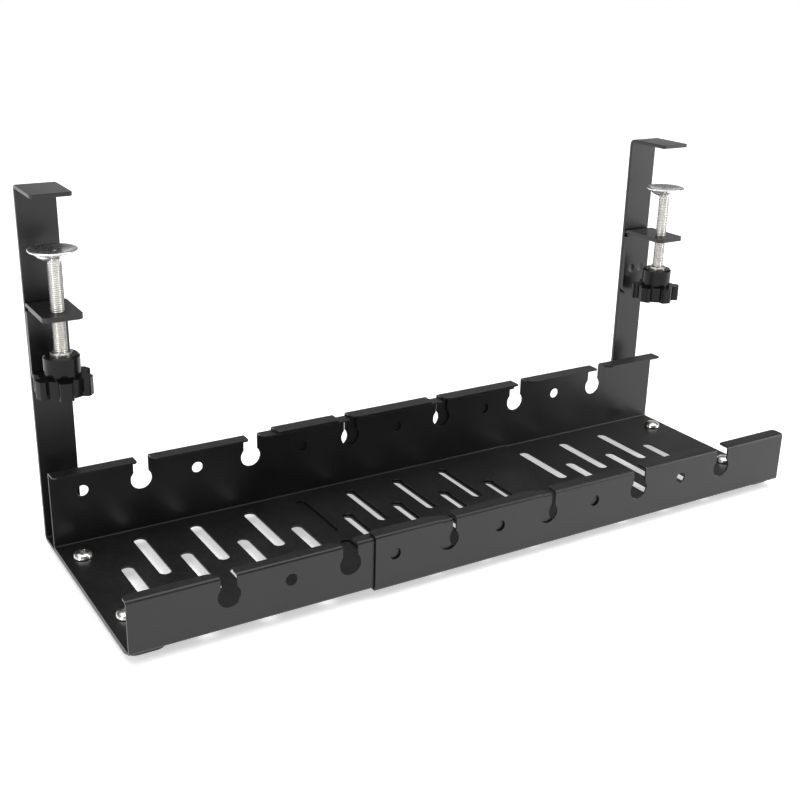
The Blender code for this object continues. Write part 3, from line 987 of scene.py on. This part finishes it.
@dataclass
class Bracket:
    """A bent strip with its hook and foot, and the clamp angle welded to it."""

    side: Side
    post_bend: float = 4.0 * MM
    post_thickness: float = 2.5 * MM
    hook_depth: float = 37.0 * MM
    hook_corner: float = 2.0 * MM
    foot_corner: float = 7.0 * MM
    angle_thickness: float = 3.0 * MM
    tab_corner: float = 4.0 * MM
    leg_corner: float = 8.0 * MM
    tapped_radius: float = 4.1 * MM
    weld_radius: float = 3.4 * MM
    weld_depth: float = 0.45 * MM
    weld_spacing: float = 9.0 * MM
    weld_drop: float = 31.0 * MM
    relief_radius: float = 1.6 * MM
    edge: float = 0.35 * MM

    def post(self) -> Piece:
        """The strip, with its two foot holes and the faint weld marks behind."""
        low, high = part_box(f"{self.side.value}_post")
        span = (low[0], high[0])
        hook_front = high[1] - self.hook_depth
        corners = ((low[1], low[2]), (high[1], low[2]), (high[1], high[2]), (hook_front, high[2]))
        piece = folded(f"{self.side.value}_bracket_strip", span, corners, self.post_bend, 9)
        round_sheet(piece, span, corners[:1], self.foot_corner)
        round_sheet(piece, span, corners[-1:], self.hook_corner)
        thicken(piece, self.post_thickness)
        combine(piece, foot_hole_tool(self.side, low[2]), "DIFFERENCE")
        _, angle_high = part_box(f"{self.side.value}_clamp_angle")
        self.press_welds(piece, high[1], 1.0, angle_high[2] - self.weld_drop, self.weld_depth / 2)
        soften(piece, self.edge, steps=3)
        return piece

    def press_welds(self, piece: Piece, face: float, outward: float, height: float, depth: float) -> None:
        """Press the two shallow spot-weld dimples into a face.

        Args:
            piece: the piece that carries them.
            face: the face's Y.
            outward: the sign of Y out of the face.
            height: the dimples' Z.
            depth: how deep they go.
        """
        x, _ = middle_of(f"{self.side.value}_post")
        ball = (self.weld_radius**2 + depth**2) / (2 * depth)
        for sign in (-1, 1):
            bpy.ops.object.select_all(action="DESELECT")
            centre = (x + sign * self.weld_spacing / 2, face + outward * (ball - depth), height)
            bpy.ops.mesh.primitive_uv_sphere_add(segments=96, ring_count=64, radius=ball, location=centre)
            combine(piece, settle(named("weld_tool")), "DIFFERENCE")

    def angle(self) -> Piece:
        """The clamp angle, with its tapped hole, bend reliefs and spot-weld dimples."""
        low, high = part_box(f"{self.side.value}_clamp_angle")
        span = (low[0], high[0])
        corners = ((high[1], low[2]), (high[1], high[2]), (low[1], high[2]))
        piece = folded(f"{self.side.value}_clamp_plate", span, corners, self.post_bend, 9)
        round_sheet(piece, span, corners[-1:], self.tab_corner)
        round_sheet(piece, span, corners[:1], self.leg_corner)
        thicken(piece, self.angle_thickness)
        x, y = middle_of(f"{self.side.value}_clamp_screw")
        hole = cylinder("tap_tool", (x, y, high[2]), self.tapped_radius, 10 * MM, Axis.Z, 48)
        combine(piece, hole, "DIFFERENCE")
        bend_start = high[2] - self.post_bend
        reliefs = [
            cylinder("relief_tool", (x, high[1], bend_start), self.relief_radius, 16 * MM, Axis.Y, 28)
            for x in span
        ]
        combine(piece, joined(reliefs), "DIFFERENCE")
        front = high[1] - self.angle_thickness
        self.press_welds(piece, front, -1.0, high[2] - self.weld_drop, self.weld_depth)
        soften(piece, self.edge, steps=3)
        return piece

    def build(self, material: Material) -> None:
        """Make the strip and the angle and dress them in the powder coat."""
        for piece, node in ((self.post(), "post"), (self.angle(), "clamp_angle")):
            hand_over(piece, f"{self.side.value}_{node}", self.side.section, material)


@dataclass
class ClampScrew:
    """Threaded rod, pressure disc, star knob and its metal insert, on one axis."""

    side: Side
    rod_radius: float = 4.0 * MM
    pitch: float = 1.25 * MM
    disc_dish: float = 1.0 * MM
    disc_neck: float = 6.0 * MM
    hub_radius: float = 10.75 * MM
    hub_height: float = 13.0 * MM
    star_valley: float = 14.0 * MM
    star_radius: float = 17.8 * MM
    star_phase: float = math.radians(20.0)
    lobes: int = 6
    lobe_root: float = 8.0 * MM
    lobe_width: float = 8.6 * MM
    lobe_corner: float = 2.7 * MM

    def __post_init__(self) -> None:
        """Read the axis from the rod."""
        self.centre = middle_of(f"{self.side.value}_clamp_screw")

    def rod(self) -> Piece:
        """The M8 rod with its real thread."""
        low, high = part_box(f"{self.side.value}_clamp_screw")
        name = f"{self.side.value}_threaded_rod"
        return thread(name, self.centre, (low[2], high[2]), self.rod_radius, self.pitch, 40)

    def disc(self) -> Piece:
        """The pressed disc: flat rim, shallow dish with the rivet's head, and a bowl below."""
        low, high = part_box(f"{self.side.value}_pressure_disc")
        rim, base = high[2], low[2]
        radius = (high[0] - low[0]) / 2
        rivet = ((0.0, 0.28), (0.9, 0.26), (1.5, 0.16), (1.9, -0.02), (2.1, -0.12), (2.5, -0.1))
        dish = ((3.6, 0.02), (6.0, 0.12), (8.5, 0.38), (10.6, 0.78))
        brim = ((-0.7, 0.0), (-0.2, -0.2), (0.0, -0.55), (-0.2, -1.1), (-0.7, -1.5))
        bowl = ((-2.0, -1.7), (-3.0, -2.3), (-4.0, -3.5), (-5.2, -4.7))
        neck = ((0.9, 0.7), (0.2, 0.15), (-0.4, 0.0))
        profile = relative((0.0, rim - self.disc_dish), rivet + dish)
        profile += [(11.8 * MM, rim - 0.05 * MM), (12.4 * MM, rim)]
        profile += relative((radius, rim), brim + bowl) + relative((self.disc_neck, base), neck)
        profile.append((0.0, base))
        piece = turned(f"{self.side.value}_pressed_disc", self.centre, profile, 96)
        return shaded_turned(piece, self.centre, 50.0)

    def knob(self) -> Piece:
        """The star knob: six lobes round a core, a hub on top and a pocket for the insert."""
        low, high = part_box(f"{self.side.value}_knob")
        x, y = self.centre
        base, hub_top = low[2], high[2]
        star_top = hub_top - self.hub_height
        name = f"{self.side.value}_star_knob"
        core = [(0.0, star_top), (self.star_valley, star_top), (self.star_valley, base), (0.0, base)]
        piece = turned(name, self.centre, core, 96)
        half, tip = self.lobe_width / 2, x + self.star_radius
        lobe = block("lobe", (x + self.lobe_root, y - half, base), (tip, y + half, star_top))
        corners = [Vector((tip, y + side * half, (base + star_top) / 2)) for side in (-1, 1)]
        with editing(lobe, "EDGE") as mesh:
            pick(mesh.edges, near(corners))
            bpy.ops.mesh.bevel(offset=self.lobe_corner, segments=6, profile=0.5, affect="EDGES")
        for k in range(self.lobes):
            angle = FULL_TURN * k / self.lobes + self.star_phase
            combine(piece, turned_copy(lobe, "lobe", self.centre, angle), "UNION")
        bpy.data.objects.remove(lobe, do_unlink=True)
        hub = [(0.0, hub_top), (self.hub_radius - 1.2 * MM, hub_top), (self.hub_radius, hub_top - 1.2 * MM)]
        hub += [(self.hub_radius, star_top - 2 * MM), (0.0, star_top - 2 * MM)]
        combine(piece, turned("hub", self.centre, hub, 96), "UNION")
        insert_low, insert_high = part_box(f"{self.side.value}_knob_insert")
        pocket_radius = (insert_high[0] - insert_low[0]) / 2 + 0.1 * MM
        pocket = cylinder("pocket", (x, y, hub_top), pocket_radius, 2 * (hub_top - insert_low[2]), Axis.Z, 64)
        combine(piece, pocket, "DIFFERENCE")
        bore_depth = 2 * self.hub_height + MM
        bore = cylinder("bore", (x, y, hub_top), self.rod_radius + 0.2 * MM, bore_depth, Axis.Z, 48)
        combine(piece, bore, "DIFFERENCE")
        recess = relative((0.0, base), ((0.0, 0.8), (10.6, 0.8), (11.4, -1.0), (0.0, -1.0)))
        combine(piece, turned("recess", self.centre, recess, 64), "DIFFERENCE")
        soften(piece, 0.7 * MM, 40.0, 4)
        return piece

    def insert(self) -> Piece:
        """The metal insert whose collar stands out of the hub."""
        low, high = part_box(f"{self.side.value}_knob_insert")
        radius, bore = (high[0] - low[0]) / 2, self.rod_radius + 0.12 * MM
        top, base = high[2], low[2]
        edge = 0.35 * MM
        profile = [(bore + edge, top), (radius - edge, top), (radius, top - edge), (radius, base)]
        profile += [(bore, base), (bore, top - edge), (bore + edge, top)]
        piece = turned(f"{self.side.value}_threaded_insert", self.centre, profile, 64)
        return shaded_turned(piece, self.centre, 30.0)

    def build(self, finishes: dict[str, Material]) -> None:
        """Make and dress the four pieces.

        Args:
            finishes: materials by slot name.
        """
        name = self.side.value
        turning, lifting = f"{name}_screw_turn", f"{name}_disc_lift"
        plan = (
            (self.rod(), f"{name}_clamp_screw", turning, THREAD.slot),
            (self.disc(), f"{name}_pressure_disc", lifting, DISC.slot),
            (self.knob(), f"{name}_knob", turning, PLASTIC.slot),
            (self.insert(), f"{name}_knob_insert", turning, INSERT.slot),
        )
        for piece, node, body, slot in plan:
            hand_over(piece, node, body, finishes[slot])


@dataclass
class FootFastener:
    """A cross-recessed pan-head screw and its hexagon nut."""

    side: Side
    place: str
    shank_radius: float = 3.0 * MM
    pitch: float = 1.0 * MM
    arm_width: float = 1.15 * MM
    arm_reach: float = 2.9 * MM
    recess_depth: float = 2.1 * MM

    def __post_init__(self) -> None:
        """Read the axis from the screw's node."""
        self.stem = f"{self.side.value}_{self.place}"
        self.centre = middle_of(f"{self.stem}_screw")

    def screw(self) -> Piece:
        """The screw: domed head, cross recess and threaded shank."""
        low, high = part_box(f"{self.stem}_screw")
        crown, tip = high[2], low[2]
        radius = (high[0] - low[0]) / 2
        seat = crown - 3.8 * MM
        dome = 3.1 * MM
        arc = [math.radians(90.0 - 12.0 * k) for k in range(7)]
        profile = [(radius * 0.97 * math.cos(a), crown - dome * (1 - math.sin(a) ** 0.8)) for a in arc]
        profile[0] = (0.0, crown)
        profile += relative((radius, seat), ((0.0, 0.55), (0.0, 0.15), (-0.15, 0.0)))
        profile.append((0.0, seat))
        piece = turned(f"{self.stem}_pan_screw", self.centre, profile, 64)
        x, y = self.centre
        for turn in (math.pi / 4, -math.pi / 4):
            low_corner = (x - self.arm_reach, y - self.arm_width / 2, crown - self.recess_depth)
            high_corner = (x + self.arm_reach, y + self.arm_width / 2, crown + MM)
            arm = block("arm_tool", low_corner, high_corner)
            with editing(arm, "FACE") as mesh:
                pick(mesh.faces, lambda face: face.normal.z < -0.5)
                floor = (x, y, crown - self.recess_depth)
                bpy.ops.transform.resize(value=(0.42, 0.7, 1.0), center_override=floor)
            tool = turned_copy(arm, "arm_tool", self.centre, turn)
            bpy.data.objects.remove(arm, do_unlink=True)
            combine(piece, tool, "DIFFERENCE")
        soften(piece, 0.09 * MM, 40.0, 2)
        span = (tip, seat + 0.4 * MM)
        shank = thread(f"{self.stem}_shank", self.centre, span, self.shank_radius, self.pitch, 32)
        piece = joined([piece, shank])
        mark = piece.data.attributes.get("axis_distance")
        piece.data.attributes.remove(mark)
        mark_axis_distance(piece, self.centre)
        return piece

    def nut(self) -> Piece:
        """The nut: a hexagon with chamfered corners and a countersunk bore."""
        low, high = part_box(f"{self.stem}_nut")
        x, y = self.centre
        corner = (high[0] - low[0]) / 2
        height = high[2] - low[2]
        bpy.ops.object.select_all(action="DESELECT")
        middle_z = (low[2] + high[2]) / 2
        bpy.ops.mesh.primitive_cylinder_add(vertices=6, radius=corner, depth=height)
        piece = named(f"{self.stem}_hex_nut")
        piece.rotation_euler = (0.0, 0.0, math.pi / 6)
        piece.location = (x, y, middle_z)
        settle(piece)
        barrel = [(0.0, high[2] + MM)]
        barrel += relative((corner, high[2]), ((-3.35, 1.0), (-0.75, 0.0), (0.3, -0.45)))
        barrel += relative((corner, low[2]), ((0.3, 0.45), (-0.75, 0.0), (-3.35, -1.0)))
        barrel.append((0.0, low[2] - MM))
        combine(piece, turned("barrel", self.centre, barrel, 60), "INTERSECT")
        bore = self.shank_radius + 0.12 * MM
        sink = [(0.0, high[2] + MM)] + relative((bore, high[2]), ((1.4, 1.0), (0.0, -0.4)))
        sink += relative((bore, low[2]), ((0.0, 0.4), (1.4, -1.0))) + [(0.0, low[2] - MM)]
        combine(piece, turned("sink", self.centre, sink, 48), "DIFFERENCE")
        soften(piece, 0.1 * MM, 25.0, 2)
        mark_axis_distance(piece, self.centre)
        return piece

    def build(self, finishes: dict[str, Material]) -> None:
        """Make the screw and the nut and dress them, with materials by slot name."""
        for piece, node, slot in ((self.screw(), "screw", SCREW.slot), (self.nut(), "nut", NUT.slot)):
            hand_over(piece, f"{self.stem}_{node}", self.side.section, finishes[slot])


# ---------------------------------------------------------------- studio


@dataclass
class SoftLight:
    """A soft rectangular lamp aimed at the tray."""

    name: str
    place: Point
    size: Pair
    watts: float
    aim: Point = (0.0, 0.0, 0.08)

    def build(self) -> None:
        """Add the lamp."""
        bpy.ops.object.select_all(action="DESELECT")
        bpy.ops.object.light_add(type="AREA", location=self.place)
        lamp = bpy.context.object
        lamp.name = self.name
        lamp.data.shape = "RECTANGLE"
        lamp.data.size, lamp.data.size_y = self.size
        lamp.data.energy = self.watts
        direction = Vector(self.aim) - Vector(self.place)
        lamp.rotation_euler = direction.to_track_quat("-Z", "Y").to_euler()


@dataclass
class Studio:
    """Pale floor, soft light, a surround that varies with height, and the camera."""

    camera_place: Point = (-0.4087, -0.6167, 0.3640)
    camera_turn: Point = (69.23, -1.26, -31.05)
    lens: float = 53.62
    horizon: float = 1.0
    walls: float = 0.16
    ceiling: float = 2.4
    floor_glow: float = 0.5
    lamps: tuple[SoftLight, ...] = field(
        default_factory=lambda: (
            SoftLight("left_strip", (-1.5, -0.7, 0.6), (0.25, 1.4), 9.0),
            SoftLight("right_strip", (1.3, -0.9, 0.7), (0.25, 1.4), 9.0),
        )
    )

    def floor(self) -> None:
        """A wide pale floor under the feet, lit a little from within like a light table."""
        bpy.ops.object.select_all(action="DESELECT")
        bpy.ops.mesh.primitive_plane_add(size=12.0, location=(0.0, 0.0, CAD_BOUNDS[0][2]))
        plane = named("studio_floor")
        material = bpy.data.materials.new("studio_floor")
        material.use_nodes = True
        shader = material.node_tree.nodes["Principled BSDF"]
        shader.inputs["Base Color"].default_value = (0.85, 0.85, 0.85, 1.0)
        shader.inputs["Roughness"].default_value = 0.8
        shader.inputs["Emission Color"].default_value = (1.0, 1.0, 1.0, 1.0)
        shader.inputs["Emission Strength"].default_value = self.floor_glow
        plane.data.materials.append(material)

    def world(self) -> None:
        """White at the horizon, dim above it and bright overhead; shown without a film curve."""
        world = bpy.data.worlds.new("studio")
        world.use_nodes = True
        bench = NodeBench(world.node_tree)
        background = world.node_tree.nodes["Background"]
        place = bench.add("ShaderNodeTexCoord")
        parts = bench.add("ShaderNodeSeparateXYZ")
        bench.join(place.outputs["Generated"], parts.inputs["Vector"])
        low = bench.spread(parts.outputs["Z"], (0.05, 0.3), (self.horizon, self.walls))
        high = bench.spread(parts.outputs["Z"], (0.7, 0.92), (0.0, self.ceiling))
        background.inputs["Color"].default_value = (1.0, 1.0, 1.0, 1.0)
        bench.join(bench.arithmetic("ADD", low, high), background.inputs["Strength"])
        bpy.context.scene.world = world
        bpy.context.scene.view_settings.view_transform = "Standard"

    def camera(self) -> None:
        """The camera, at the tray's front left and a little above it."""
        bpy.ops.object.select_all(action="DESELECT")
        bpy.ops.object.camera_add(
            location=self.camera_place, rotation=[math.radians(angle) for angle in self.camera_turn]
        )
        camera = bpy.context.object
        camera.data.lens = self.lens
        camera.data.sensor_width = 36.0
        camera.data.clip_start = 0.01
        camera.data.dof.use_dof = False
        bpy.context.scene.camera = camera

    def build(self) -> None:
        """Set up the whole studio."""
        self.floor()
        self.world()
        for lamp in self.lamps:
            lamp.build()
        self.camera()


def main() -> None:
    """Build every sub-assembly, then the studio."""
    logging.basicConfig(level=logging.INFO, format="%(message)s")
    effects = Effect()
    finishes = {
        finish.slot: finish.material(effects)
        for finish in (POWDER_COAT, PLASTIC, THREAD, DISC, INSERT, SCREW, NUT)
    }
    coat = finishes[POWDER_COAT.slot]
    inner = Channel("inner_tray", "inner_section", 0.0, 13.7 * MM, 20.5 * MM, range(5), range(1, 5))
    outer = Channel("outer_tray", "outer_section", NEST, 16.2 * MM, 13.5 * MM, range(4), range(4))
    inner.build(Side.LEFT, coat)
    outer.build(Side.RIGHT, coat)
    for side in Side:
        Bracket(side).build(coat)
        ClampScrew(side).build(finishes)
        for place in ("back", "front"):
            FootFastener(side, place).build(finishes)
    Studio().build()


if __name__ == "__main__":
    main()
